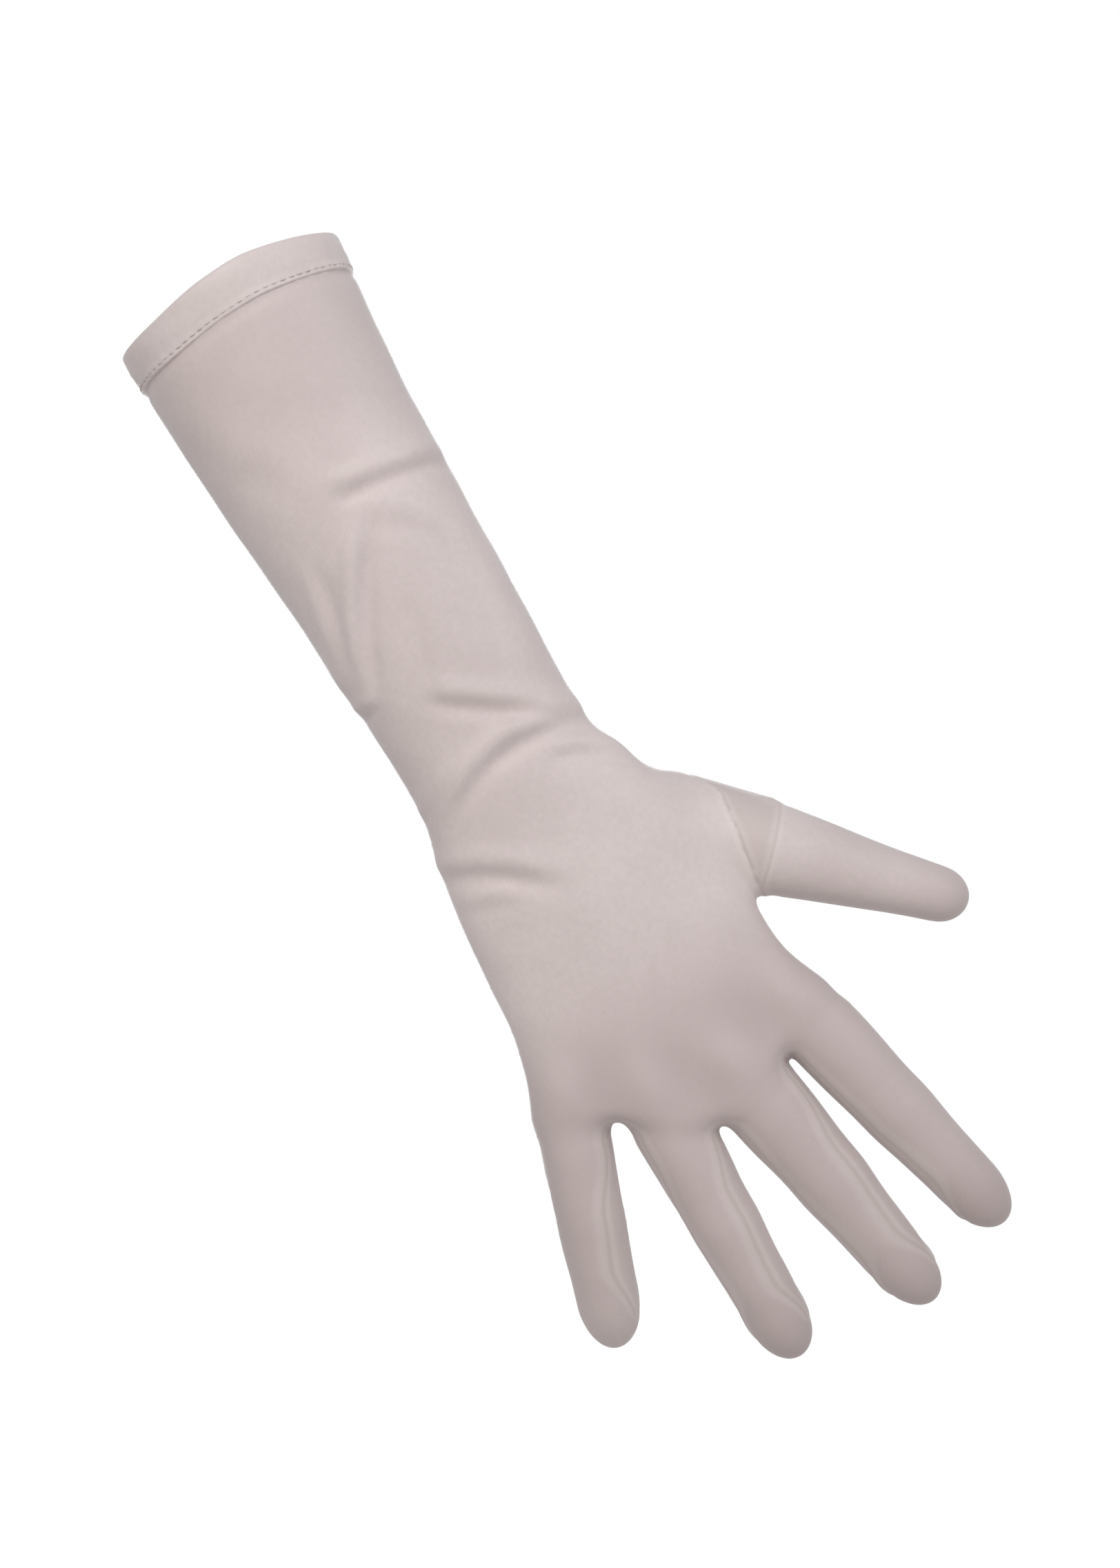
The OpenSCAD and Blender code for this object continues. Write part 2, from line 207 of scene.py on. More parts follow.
# %% Fingers and thumb
class Limb:
    """One finger: where its root is, which way it heads, and how it tapers, rolls and curls to the palm."""

    def __init__(self, name, root, heading, roll, length, root_half, tip_half, depth, drop,
                 start=-24, inset=0.2, cap=1.6):
        self.name, self.length, self.drop, self.start, self.inset = name, length, drop, start, inset
        self.cap = cap * tip_half
        self.root = np.array([root[0], root[1], -root[2]], float)
        lean = math.radians(heading)
        self.along = np.array([math.sin(lean), 0, -math.cos(lean)])
        self.flat = np.array([math.cos(lean), 0, math.sin(lean)])
        self.roll, self.root_half, self.tip_half, self.depth = math.radians(roll), root_half, tip_half, depth

    def turn(self, t):
        """How far the limb is rolled at t. A finger rolls only past its root, the thumb all along."""
        return self.roll * smooth((t - 6) / 18) if self.name != "thumb" else np.full_like(t, self.roll)

    def coordinates(self, x, y, s):
        """How far along the limb, across it towards the thumb's side, and out of its back."""
        px, py, pz = x - self.root[0], y - self.root[1], -s - self.root[2]
        t = px * self.along[0] + pz * self.along[2]
        py = py - self.drop * (np.maximum(t, 0) / self.length) ** 2
        flat = px * self.flat[0] + pz * self.flat[2]
        c, k = np.cos(self.turn(t)), np.sin(self.turn(t))
        return t, flat * c - py * k, -flat * k - py * c

    def half_width(self, t):
        share = np.clip(t / (self.length - self.tip_half), 0, 1) ** 0.75
        joint = 0.35 * np.exp(-((t - 0.42 * self.length) / 7) ** 2) if self.name != "thumb" else 0
        narrowed = self.inset * (np.sqrt(t * t + 64) - t) / 2  # above the root, so it stays inside the palm
        return self.root_half + (self.tip_half - self.root_half) * share + joint - narrowed

    def field(self, x, y, s):
        """About how far a point is outside the limb, which is rounded at its tip and where it starts."""
        t, u, v = self.coordinates(x, y, s)
        into_tip = np.maximum(t - (self.length - self.cap), 0) / self.cap
        into = into_tip + np.maximum(self.start + 16 - t, 0) / 16
        a = self.half_width(t)
        b = a * self.depth
        round_ = np.sqrt((u / a) ** 2 + (v / b) ** 2 + into ** 2 + 1e-9)
        slope = np.sqrt((u / a ** 2) ** 2 + (v / b ** 2) ** 2 + (into / self.cap) ** 2) / round_
        tube = (round_ - 1) / np.maximum(slope, 0.6 / a)
        return np.maximum(tube, self.start - t)

    def at(self, t):
        return self.root + self.along * t


LITTLE = Limb("little", (-38, 0.5, 260), -19.4, 28, 64.4, 11.1, 9.1, 0.92, 9)
RING = Limb("ring", (-12.5, 0, 272), -1.5, 22, 77.6, 12.1, 9.1, 0.92, 8)
MIDDLE = Limb("middle", (14.2, 0, 277), 9.6, 14, 79.8, 13.3, 9.0, 0.86, 7)
INDEX = Limb("index", (39.4, 0.5, 270), 13.2, 0, 78.4, 12.5, 9.0, 0.9, 8, inset=0.24)
THUMB = Limb("thumb", (51.7, 8, 215.3), 44.1, -50, 63.8, 15.2, 8.6, 0.93, 6, start=-44, inset=0, cap=1.15)
FINGERS = [LITTLE, RING, MIDDLE, INDEX]


def melt(a, b, reach):
    """The smaller of two fields, blended where they are within reach of each other."""
    near = np.maximum(reach - np.abs(a - b), 0) / reach
    return np.minimum(a, b) - near * near * reach / 4


def glove_field(x, y, s):
    hand = -melt(-arm_field(x, y, s), web_line(x) - s, 6)
    fingers = FINGERS[0].field(x, y, s)
    for finger in FINGERS[1:]:
        fingers = melt(fingers, finger.field(x, y, s), 3)
    return melt(melt(hand, fingers, 6), THUMB.field(x, y, s), 7)


# %% [markdown]
# The field becomes a mesh by a net of small cubes: each cube that the surface passes through gets one
# point, and each grid line that it crosses gets one four-sided face. The points are then pulled onto the
# surface and evened out. A grid of 1.3 mm keeps the fold lines smooth without making a heavy mesh.

# %% Net over the field
GRID = 1.3


def slope_of(points):
    """The field's value and its direction of increase at points."""
    x, y, s = points[:, 0], points[:, 1], -points[:, 2]
    e = 0.05
    here = glove_field(x, y, s)
    grad = np.stack([glove_field(x + e, y, s) - here, glove_field(x, y + e, s) - here,
                     here - glove_field(x, y, s + e)], axis=1) / e
    return here, grad


def net(low, high, step):
    """Points and four-sided faces over the surface, in the box between two corners."""
    axes = [np.arange(a, b, step) for a, b in zip(low, high)]
    x, y, z = np.meshgrid(*axes, indexing="ij")
    inside = glove_field(x.ravel(), y.ravel(), -z.ravel()).reshape(x.shape) < 0
    wide, deep, tall = (n - 1 for n in inside.shape)
    corners = sum(inside[i:wide + i, j:deep + j, k:tall + k].astype(int)
                  for i in (0, 1) for j in (0, 1) for k in (0, 1))
    active = (corners > 0) & (corners < 8)
    index = np.full(active.shape, -1)
    index[active] = np.arange(active.sum())
    points = np.argwhere(active) * step + np.array([a[0] for a in axes]) + step / 2
    faces = []
    for axis in range(3):
        other = [a for a in range(3) if a != axis]
        first = np.take(inside, range(inside.shape[axis] - 1), axis)
        second = np.take(inside, range(1, inside.shape[axis]), axis)
        crossing = np.argwhere(first != second)
        size = np.array(inside.shape)
        ok = np.all((crossing[:, other] > 0) & (crossing[:, other] < size[other] - 1), axis=1)
        crossing = crossing[ok]
        outward = first[tuple(crossing.T)]
        b, c = (other if axis != 1 else other[::-1])
        step_b, step_c = np.eye(3, dtype=int)[b], np.eye(3, dtype=int)[c]
        ring = [crossing, crossing - step_b, crossing - step_b - step_c, crossing - step_c]
        quad = np.stack([index[tuple(r.T)] for r in ring], axis=1)
        faces.append(np.where(outward[:, None], quad, quad[:, ::-1]))
    return points, np.concatenate(faces)


def pull_on(points, rounds):
    """The points after they have been moved onto the surface."""
    for _ in range(rounds):
        here, grad = slope_of(points)
        points = points - (here / np.maximum((grad ** 2).sum(1), 0.25))[:, None] * grad
    return points


points, faces = net((-72, -40, -364), (108, 40, 9), GRID)
points = pull_on(points, 4)
edges = np.unique(np.sort(np.concatenate([faces[:, [i, (i + 1) % 4]] for i in range(4)]), axis=1), axis=0)
for _ in range(4):
    total, count = np.zeros_like(points), np.zeros(len(points))
    for a, b in ((0, 1), (1, 0)):
        np.add.at(total, edges[:, a], points[edges[:, b]])
        np.add.at(count, edges[:, a], 1)
    points = pull_on(points + 0.6 * (total / count[:, None] - points), 1)
print("skin", len(points), "points", len(faces), "faces")

# %% [markdown]
# The cloth doesn't fit the arm like paint. It drags from the wrist and slides into a few long folds. Each
# fold is drawn as one curve over the back or the palm, with a soft ridge and a shadow line beside it, and
# dies out at both ends. Drawn folds stay where they are wanted, which a cloth simulation over a closed hand
# doesn't promise.

# %% Folds
def fold(x, s, start, middle, end, height, width, shadow=0.8, far=0.30):
    """Height of one fold. The shadow lies on the fingers' side of a curve drawn towards the thumb."""
    p0, pm, p2 = (np.array(p, float) for p in (start, middle, end))
    pull = 2 * pm - (p0 + p2) / 2
    t = np.linspace(0, 1, 21)[:, None]
    curve = (1 - t) ** 2 * p0 + 2 * t * (1 - t) * pull + t * t * p2
    reach = 5 * width
    close = np.where((x > curve[:, 0].min() - reach) & (x < curve[:, 0].max() + reach)
                     & (s > curve[:, 1].min() - reach) & (s < curve[:, 1].max() + reach))[0]
    px, ps = x[close], s[close]
    best, side, where = np.full(len(close), 1e9), np.zeros(len(close)), np.zeros(len(close))
    for k, (a, b) in enumerate(zip(curve[:-1], curve[1:])):
        e = b - a
        u = np.clip(((px - a[0]) * e[0] + (ps - a[1]) * e[1]) / (e @ e), 0, 1)
        dx, ds = px - a[0] - u * e[0], ps - a[1] - u * e[1]
        d = np.hypot(dx, ds)
        nearer = d < best
        best = np.where(nearer, d, best)
        side = np.where(nearer, np.sign(e[0] * ds - e[1] * dx) * d, side)
        where = np.where(nearer, (k + u) / 20, where)
    fade = smooth(where / far) * smooth((1 - where) / far)
    shape = np.exp(-(side / width) ** 2) - shadow * np.exp(-((side - 1.5 * width) / (0.8 * width)) ** 2)
    out = np.zeros(len(x))
    out[close] = height * shape * fade
    return out


# start, middle and end of each curve as (x, distance from the hem), then height and width in mm
BACK_FOLDS = [
    ((-6, 64.8), (12, 66.4), (37, 70.5), 1.4, 3.2),
    ((-28, 125), (-15, 97), (1, 74), 1.9, 3.1),
    ((-31, 121), (-25, 100), (-21, 76), 1.0, 2.8),
    ((-6, 70), (20, 88), (25, 120), 0.55, 4.0),
    ((-36, 119), (-29, 121.5), (-20, 121), 0.8, 2.4),
    ((5, 100), (1, 118), (-7, 136), 0.5, 3.2),
    ((-12, 124.5), (9, 139.5), (34, 157), 1.4, 3.2),
    ((-33, 167.5), (0, 150), (35, 158.5), 1.7, 3.4),
    ((-33, 160), (-24, 154), (-12, 148), 0.5, 2.2),
    ((10, 158), (25, 164), (40, 178), 1.0, 2.8),
    ((-37, 171), (-18, 178), (3, 196), 1.3, 3.6),
    ((-34, 186), (-24, 186), (-12, 193), 0.5, 3.0),
    ((-28, 40), (-12, 52), (-4, 74), 0.3, 5.0),
]
PALM_FOLDS = [
    ((-30, 56), (-8, 62), (20, 58), 0.8, 4.0),
    ((-24, 92), (0, 104), (26, 98), 0.9, 4.2),
    ((-29, 130), (-4, 138), (22, 128), 1.0, 3.6),
    ((-28, 148), (0, 154), (28, 147), 1.4, 3.2),
    ((-30, 163), (-2, 166), (26, 160), 1.1, 3.0),
    ((-8, 186), (10, 196), (16, 222), 0.9, 3.6),
    ((-34, 212), (-8, 222), (20, 236), 0.7, 3.6),
    ((-30, 240), (0, 246), (30, 250), 0.8, 3.2),
]


hem_arch = smooth_line([(-60, -0.8), (-34, -0.7), (-22, 0.0), (-6, 2.6), (8, 3.4), (20, 1.6), (34, -0.6),
                        (60, -0.6)], 3)


def hem_rise(x, y):
    """How far the hem's edge stands up the arm. It is pulled up a little over the back of the arm."""
    return hem_arch(x) * smooth(0.5 - y / 45)


def soft_waves(p):
    """Slow unevenness of cloth under light tension, well under a millimetre."""
    return (0.22 * np.sin(p[:, 0] / 11 + 1.3 * np.sin(p[:, 2] / 23)) * np.sin(p[:, 2] / 17 + p[:, 1] / 9)
            + 0.12 * np.sin(p[:, 0] / 5.1 + p[:, 2] / 8.7) * np.sin(p[:, 2] / 6.3 - p[:, 1] / 4.9))


def ease(points, normals):
    """How far each point of the skin moves out along its normal."""
    x, s = points[:, 0], -points[:, 2]
    back = smooth((0.28 - normals[:, 1]) / 0.7)
    palm = smooth((0.28 + normals[:, 1]) / 0.7)
    move = soft_waves(points) * smooth((s - 8) / 20)
    move -= 0.45 * np.exp(-((s + 0.65 * hem_rise(x, points[:, 1]) - 12.6) / 1.5) ** 2)
    for start, middle, end, height, width in BACK_FOLDS:
        move += back * fold(x, s, start, middle, end, height, width)
    for start, middle, end, height, width in PALM_FOLDS:
        move += palm * fold(x, s, start, middle, end, height, width)
    for finger, rise in zip(FINGERS, (1.5, 1.8, 1.9, 1.7)):
        t, u, v = finger.coordinates(x, points[:, 1], s)
        on_back = (v > 0) & (np.abs(u) < 16)
        move += np.where(on_back, rise * np.exp(-((t + 15) / 9) ** 2 - (u / 6.5) ** 2), 0)
        move -= np.where(on_back, 0.35 * np.exp(-((t + 2) / 6) ** 2 - (u / 9) ** 2), 0)
        for at in (-1.6, 0, 1.6):
            crease = np.exp(-((t - 26 - 2.2 * at) / 1.1) ** 2)
            move -= np.where((np.abs(u) < 12) & (t > 10), 0.16 * crease * np.abs(np.cos(np.arctan2(u, v))), 0)
    return move


gradient = slope_of(points)[1]
normals = gradient / np.linalg.norm(gradient, axis=1)[:, None]
lift = ease(points, normals)
points = points + lift[:, None] * normals
print("folds move the skin from", round(lift.min(), 2), "to", round(lift.max(), 2), "mm")

# %% [markdown]
# A sewn glove is a few flat pieces: one long piece folded at the index finger's side for the back and the
# palm, a thumb set into an almond-shaped hole with a small gusset at its web, and narrow side panels
# between the fingers. Their seams are lines on the skin where a value is zero. Cutting the skin exactly
# along those lines gives each piece its true edge, and the pieces meet with no gap.

# %% Where the seams and cuts run
FAR_OUT = -9.0  # the value of a seam's function where that seam can't be
FINGER_LENGTHS = np.array([finger.length for finger in FINGERS])
SIDE_PANEL_HALF = 6.1
FINGER_CUT = 14.0  # the finger pieces start here, just before the cloth that creases at the middle joint
THUMB_CUT = 22.0
SLEEVE_CUT = 187.0
HEM_HEIGHT = 11.0
thumb_seam_line = smooth_line([(170, 60), (184, 54), (191, 50.5), (198, 49), (212, 47), (225, 45),
                               (230, 45.6), (240, 50), (250, 58), (260, 66), (280, 80), (320, 80)], 2)


def hem_edge(x, y, s):
    """Above zero where the sleeve's cloth ends, tucked inside the turned edge of the hem."""
    return -s - hem_rise(x, y) + 1.2


def sleeve_end(x, y, s):
    return s - SLEEVE_CUT


def thumb_piece(x, y, s):
    """Above zero on the thumb's piece: the seam is straight down on the back and an almond on the palm."""
    almond = np.cos(np.clip((s - 203) / 26, -1, 1) * math.pi / 2) ** 2
    return x - thumb_seam_line(s) + 24 * almond * smooth(y / 12)


def thumb_end(x, y, s):
    t = THUMB.coordinates(x, y, s)[0]
    return np.where(thumb_piece(x, y, s) > 0, t - THUMB_CUT, FAR_OUT)


def gusset(x, y, s):
    """Above zero on the triangle between the thumb's two seams, with its point at the web."""
    across = -0.717 * (x - 58) - 0.695 * (s - 212.6)
    top = -0.851 * (x - 49) + 0.525 * (s - 198) + 7
    inside = np.minimum(np.minimum(across, top), 9 - y)
    return np.where(thumb_piece(x, y, s) > -0.5, inside, FAR_OUT)


def nearest_finger(x, y, s):
    """Which finger each point belongs to, with its coordinates on that finger."""
    fields = np.stack([finger.field(x, y, s) for finger in FINGERS])
    owner = fields.argmin(0)
    coordinates = np.stack([np.stack(finger.coordinates(x, y, s)) for finger in FINGERS])
    t, u, v = coordinates[owner, :, np.arange(len(x))].T
    return owner, t, u, v


def finger_piece(x, y, s):
    t = nearest_finger(x, y, s)[1]
    return np.where(thumb_piece(x, y, s) > 0, FAR_OUT, t - FINGER_CUT)


def side_panel(x, y, s):
    """Above zero on the narrow panels that face the next finger. They run out to a point near the tip."""
    owner, t, u, v = nearest_finger(x, y, s)
    lengths = FINGER_LENGTHS[owner]
    faces_next = ((u > 0) & (owner != 3)) | ((u < 0) & (owner != 0))
    width = SIDE_PANEL_HALF * smooth((lengths - 4 - t) / 22) - 0.8 * smooth((t - lengths + 8) / 6)
    return np.where(faces_next & (t > -12) & (s > 250), width - np.abs(v), FAR_OUT)


# %% Cut the skin
def store(on_mesh, name, values):
    """Keeps one number, or one place, for every point of a mesh."""
    kind, field = ("FLOAT", "value") if values.ndim == 1 else ("FLOAT_VECTOR", "vector")
    layer = on_mesh.attributes.new(name, kind, "POINT")
    layer.data.foreach_set(field, values.astype(np.float32).ravel())


mesh = bpy.data.meshes.new("skin")
mesh.from_pydata(points.tolist(), [], faces.tolist())
for name, values in (("worn", points), ("base", points - lift[:, None] * normals)):
    store(mesh, name, values)
skin = bmesh.new()
skin.from_mesh(mesh)
worn, base = (skin.verts.layers.float_vector[name] for name in ("worn", "base"))


def cut_where(value):
    """Draws an edge through the skin where value is zero. The skin is slid so that the value is its X, which
    turns the curved line into a flat plane for Blender's bisect, and the real places come back afterwards."""
    at = np.array([v[base] for v in skin.verts])
    height = value(at[:, 0], at[:, 1], -at[:, 2])
    for v, h in zip(skin.verts, height):
        v.co = (h, v[base][1], v[base][2])
        v.tag = bool(h > 0)
    faces_on_line = [f for f in skin.faces if 0 < sum(v.tag for v in f.verts) < len(f.verts)
                     and max(abs(v.co.x) for v in f.verts) < 8]
    verts_on_line = list({v for f in faces_on_line for v in f.verts})
    edges_on_line = list({e for f in faces_on_line for e in f.edges})
    bmesh.ops.bisect_plane(skin, geom=verts_on_line + edges_on_line + faces_on_line, dist=0.1,
                           plane_co=(0, 0, 0), plane_no=(1, 0, 0))


for line in (hem_edge, sleeve_end, thumb_piece, thumb_end, gusset, finger_piece, side_panel):
    cut_where(line)
for v in skin.verts:
    v.co = v[worn]
bmesh.ops.recalc_face_normals(skin, faces=skin.faces)
skin.to_mesh(mesh)
skin.free()
count = len(mesh.vertices)
places, based, bent = np.empty(count * 3), np.empty(count * 3), np.empty(count * 3)
mesh.vertices.foreach_get("co", places)
mesh.attributes["base"].data.foreach_get("vector", based)
mesh.vertex_normals.foreach_get("vector", bent)
places, based, bent = places.reshape(-1, 3), based.reshape(-1, 3), bent.reshape(-1, 3)
face_points = [list(f.vertices) for f in mesh.polygons]
middles = np.array([based[f].mean(0) for f in face_points])
fx, fy, fs = middles[:, 0], middles[:, 1], -middles[:, 2]
print("cut skin", count, "points", len(face_points), "faces")

# %% Name each face's piece
owner, t, u, v = nearest_finger(fx, fy, fs)
names = np.array([finger.name for finger in FINGERS])[owner]
on_thumb, on_finger, on_side = (line(fx, fy, fs) > 0 for line in (thumb_piece, finger_piece, side_panel))
gap_of = np.where(u > 0, owner, owner - 1)  # 0 is between the little and ring fingers
GAPS = ["little_ring", "ring_middle", "middle_index"]
piece_of = np.full(len(middles), "hand_cloth", dtype=object)
piece_of[fs < SLEEVE_CUT] = "sleeve_cloth"
piece_of[on_finger] = [n + "_finger_cloth" for n in names[on_finger]]
piece_of[on_side] = ["side_panel_" + GAPS[g] for g in np.clip(gap_of[on_side], 0, 2)]
far_side = on_side & on_finger
piece_of[far_side] = [f"{n}_side_panel_{'thumb' if right else 'little'}_side"
                      for n, right in zip(names[far_side], u[far_side] > 0)]
piece_of[on_thumb] = "thumb_base_cloth"
piece_of[on_thumb & (thumb_end(fx, fy, fs) > 0)] = "thumb_end_cloth"
piece_of[gusset(fx, fy, fs) > 0] = "thumb_gusset_cloth"
piece_of[hem_edge(fx, fy, fs) > 0] = "cut away"
for name in sorted(set(piece_of)):
    print("  ", name, int((piece_of == name).sum()), "faces")


# %% [markdown]
# Seams also have to show. The distance to the nearest seam is stored on every point, so the material can
# draw a fine groove of the right width anywhere, much finer than the mesh, with painted shade in the groove
# and a painted highlight on its lips. The cloth's own place is stored too, so its knit stays put when a
# finger bends.

# %% Seam distances
def seam_distance(x, y, s):
    """About how far each point is from the nearest seam."""
    near = np.full(len(x), 30.0)
    on_web = (s > 176) & (s < 236) & (x > 12)
    near = np.where(on_web, np.minimum(near, np.abs(thumb_piece(x, y, s))), near)
    wedge = gusset(x, y, s)
    near = np.where((wedge > -6) & on_web, np.minimum(near, np.abs(wedge)), near)
    panel = side_panel(x, y, s)
    owner, t, u, v = nearest_finger(x, y, s)
    past_end = t - FINGER_LENGTHS[owner] + 11  # the two seams of a panel fade where they run together
    near = np.where(panel > -6, np.minimum(near, np.abs(panel) + 4 * smooth(past_end / 6)), near)
    t, u, v = LITTLE.coordinates(x, y, s)
    on_side_seam = (u < 0) & (x < -18) & (owner == 0) & (t < 55)
    return np.where(on_side_seam, np.minimum(near, np.abs(v)), near)


def show_through_and_shade_amount(x, y, s):
    """How much darker each point is painted: partly where the cloth is pulled tight over knuckles and fingers
    and some of the hand shows through, partly painted shade between the knuckles, in the thumb's gusset and
    along the fingers and thumb, which tilt away from the main light. The sleeve is painted darker towards the
    hem.
    """
    owner, t, u, v = nearest_finger(x, y, s)
    at_tip = np.array([-0.2, 0.26, 0.32, 0.36])[owner] * smooth((t - FINGER_LENGTHS[owner] + 34) / 34)
    valleys = 0.5 - 0.5 * np.cos(np.clip(u / 12, -1, 1) * math.pi)
    fingers = 0.70 * smooth((s - 214) / 40) + at_tip
    # Painted shade between the knuckles.
    fingers += 0.15 * (valleys - 0.35) * np.exp(-((t + 16) / 12) ** 2)
    on = THUMB.coordinates(x, y, s)[0]
    thumb = 0.12 + 0.2 * smooth((on - 4) / 18) + 0.34 * smooth((on - 38) / 22)
    # Painted shade in the thumb's gusset.
    thumb += 0.45 * smooth((gusset(x, y, s) + 0.3) / 1.5)
    sleeve = 0.22 * smooth((70 - s) / 40) + 0.10
    sleeve = sleeve * smooth((186 - s) / 30)
    return np.where(thumb_piece(x, y, s) > 0, thumb, np.where(s > 180, fingers, sleeve))


seams = seam_distance(based[:, 0], based[:, 1], -based[:, 2])
thin = show_through_and_shade_amount(based[:, 0], based[:, 1], -based[:, 2])
groove = 0.22 * np.exp(-(seams / 0.8) ** 2)
lips = 0.16 * np.exp(-((seams - 2.0) / 1.1) ** 2)
places = places - groove[:, None] * bent
places = places + lips[:, None] * bent

# %% [markdown]
# The cloth is a fine warp-knit satin: smooth filament loops that lie nearly parallel, which gives a soft,
# wide sheen and no sparkle. Real loops are about 0.4 mm apart and can't be seen from here, so the ribs are
# drawn about three times as coarse and very shallow.

# %% Satin knit
RIB_MM, COURSE_MM = 1.1, 1.5
PATCHES_PER_MM, FLECKS_PER_MM = 0.028, 0.55  # slow changes of tone in dyed cloth, and uneven yarn


def satin_knit(name, light, dark, ribs_along="Z"):
    """The glove's cloth: knit, slow change of tone, darkening partly where the hand shows through and partly
    painted shade, and the groove of each seam with painted shade in it and a painted highlight on its lips.
    """
    cloth = bpy.data.materials.new(name)
    cloth.use_nodes = True
    tree = cloth.node_tree
    tree.nodes.clear()
    place = add_node(tree, "ShaderNodeAttribute", {"attribute_name": "cloth_place"})
    seam = add_node(tree, "ShaderNodeAttribute", {"attribute_name": "seam"})
    split = add_node(tree, "ShaderNodeSeparateXYZ", _0=(place, "Vector"))
    around = add_node(tree, "ShaderNodeMath", {"operation": "MULTIPLY_ADD"}, _0=(split, "Y"), _1=0.8,
                      _2=(split, "X"))
    rib_turn, course_turn = (RIB_MM, COURSE_MM) if ribs_along == "Z" else (COURSE_MM, RIB_MM)
    across = add_node(tree, "ShaderNodeMath", {"operation": "MULTIPLY"}, _0=(around, 0),
                      _1=2 * math.pi / rib_turn)
    down = add_node(tree, "ShaderNodeMath", {"operation": "MULTIPLY"}, _0=(split, "Z"),
                    _1=2 * math.pi / course_turn)
    ribs = add_node(tree, "ShaderNodeMath", {"operation": "SINE"}, _0=(across, 0))
    courses = add_node(tree, "ShaderNodeMath", {"operation": "SINE"}, _0=(down, 0))
    knit = add_node(tree, "ShaderNodeMath", {"operation": "MULTIPLY_ADD"}, _0=(courses, 0), _1=0.5,
                    _2=(ribs, 0))
    patches = add_node(tree, "ShaderNodeTexNoise", Vector=(place, "Vector"), Scale=PATCHES_PER_MM, Detail=3.0,
                       Roughness=0.5)
    flecks = add_node(tree, "ShaderNodeTexNoise", Vector=(place, "Vector"), Scale=FLECKS_PER_MM, Detail=2.0,
                      Roughness=0.6)
    tone = add_node(tree, "ShaderNodeMix", {"data_type": "FLOAT"}, _0=0.35, _2=(patches, 0), _3=(flecks, 0))
    shade = add_node(tree, "ShaderNodeMapRange", Value=(tone, 0), _1=0.36, _2=0.64, _3=0.0, _4=1.0)
    tint = add_node(tree, "ShaderNodeMix", {"data_type": "RGBA"}, _0=(shade, 0), _6=linear(dark),
                    _7=linear(light))
    groove = add_node(tree, "ShaderNodeMapRange", {"interpolation_type": "SMOOTHSTEP"}, Value=(seam, "Fac"),
                      _1=0.15, _2=0.85, _3=1.0, _4=0.0)
    # Painted shade: points close to a seam are mixed towards dark #8d8079, the shade of the seam's groove.
    painted_seam_shade = add_node(tree, "ShaderNodeMath", {"operation": "MULTIPLY"}, _0=(groove, 0), _1=0.22)
    # Mixed towards #ada09d by the stored amount: partly the hand showing through the cloth, partly painted
    # shade.
    show_through_and_shade_attribute = add_node(tree, "ShaderNodeAttribute", {"attribute_name": "thin"})
    through = add_node(tree, "ShaderNodeMix", {"data_type": "RGBA"}, _0=(show_through_and_shade_attribute, "Fac"), _6=(tint, 2),
                       _7=linear("#ada09d"))
    # Painted highlight: a band 1.4 to 2.6 mm from each seam is mixed towards light #e2dad6, on the seam's
    # lips.
    painted_lip_highlight = add_node(tree, "ShaderNodeMapRange", {"interpolation_type": "SMOOTHSTEP"}, Value=(seam, "Fac"),
                     _1=2.6, _2=1.4, _3=0.0, _4=0.15)
    lit = add_node(tree, "ShaderNodeMix", {"data_type": "RGBA"}, _0=(painted_lip_highlight, 0), _6=(through, 2),
                   _7=linear("#e2dad6"))
    colour = add_node(tree, "ShaderNodeMix", {"data_type": "RGBA"}, _0=(painted_seam_shade, 0), _6=(lit, 2),
                      _7=linear("#8d8079"))
    rise = add_node(tree, "ShaderNodeMath", {"operation": "MULTIPLY_ADD"}, _0=(groove, 0), _1=-12.0,
                    _2=(knit, 0))
    bump = add_node(tree, "ShaderNodeBump", Height=(rise, 0), Strength=0.2, Distance=0.000035)
    surface = add_node(tree, "ShaderNodeBsdfPrincipled", Base_Color=(colour, 2), Normal=(bump, 0),
                       Roughness=0.5, Metallic=0.0, IOR=1.5, Specular_IOR_Level=0.35,
                       Sheen_Weight=0.35, Sheen_Roughness=0.45)
    add_node(tree, "ShaderNodeOutputMaterial", Surface=(surface, 0))
    return cloth


satin = satin_knit("warp-knit satin", "#cec3c0", "#c4b9b6")
# Painted light: the side panels and the gusset get a lighter copy of the satin, #d5cbc7 and #cbc1bc, standing
# in for light on panels that face away from the main lamp.
side_satin_painted_lighter = satin_knit("warp-knit satin cut crosswise", "#d5cbc7", "#cbc1bc", ribs_along="X")
hem_satin = satin_knit("warp-knit satin turned double", "#cbc1be", "#c2b7b4")

# %% Thread
# Sewing thread is spun from short polyester fibres, so it is matt and a little uneven in tone. A noise finer
# than 0.1 mm breaks up its tone as the fibres do.
thread_paint = bpy.data.materials.new("spun polyester thread")
thread_paint.use_nodes = True
thread_surface = thread_paint.node_tree.nodes["Principled BSDF"]
fibres = add_node(thread_paint.node_tree, "ShaderNodeTexNoise", Scale=900.0, Detail=2.0)
twist = add_node(thread_paint.node_tree, "ShaderNodeMix", {"data_type": "RGBA"}, _0=(fibres, 0),
                 _6=linear("#b9ada7"), _7=linear("#c9beb9"))
thread_paint.node_tree.links.new(twist.outputs[2], thread_surface.inputs["Base Color"])
thread_surface.inputs["Roughness"].default_value = 0.6


# %% [markdown]
# Each piece is now its own object. Its shading directions are taken from the whole skin before it was cut,
# so no line shows where two pieces of one cloth meet only because the hand bends there.

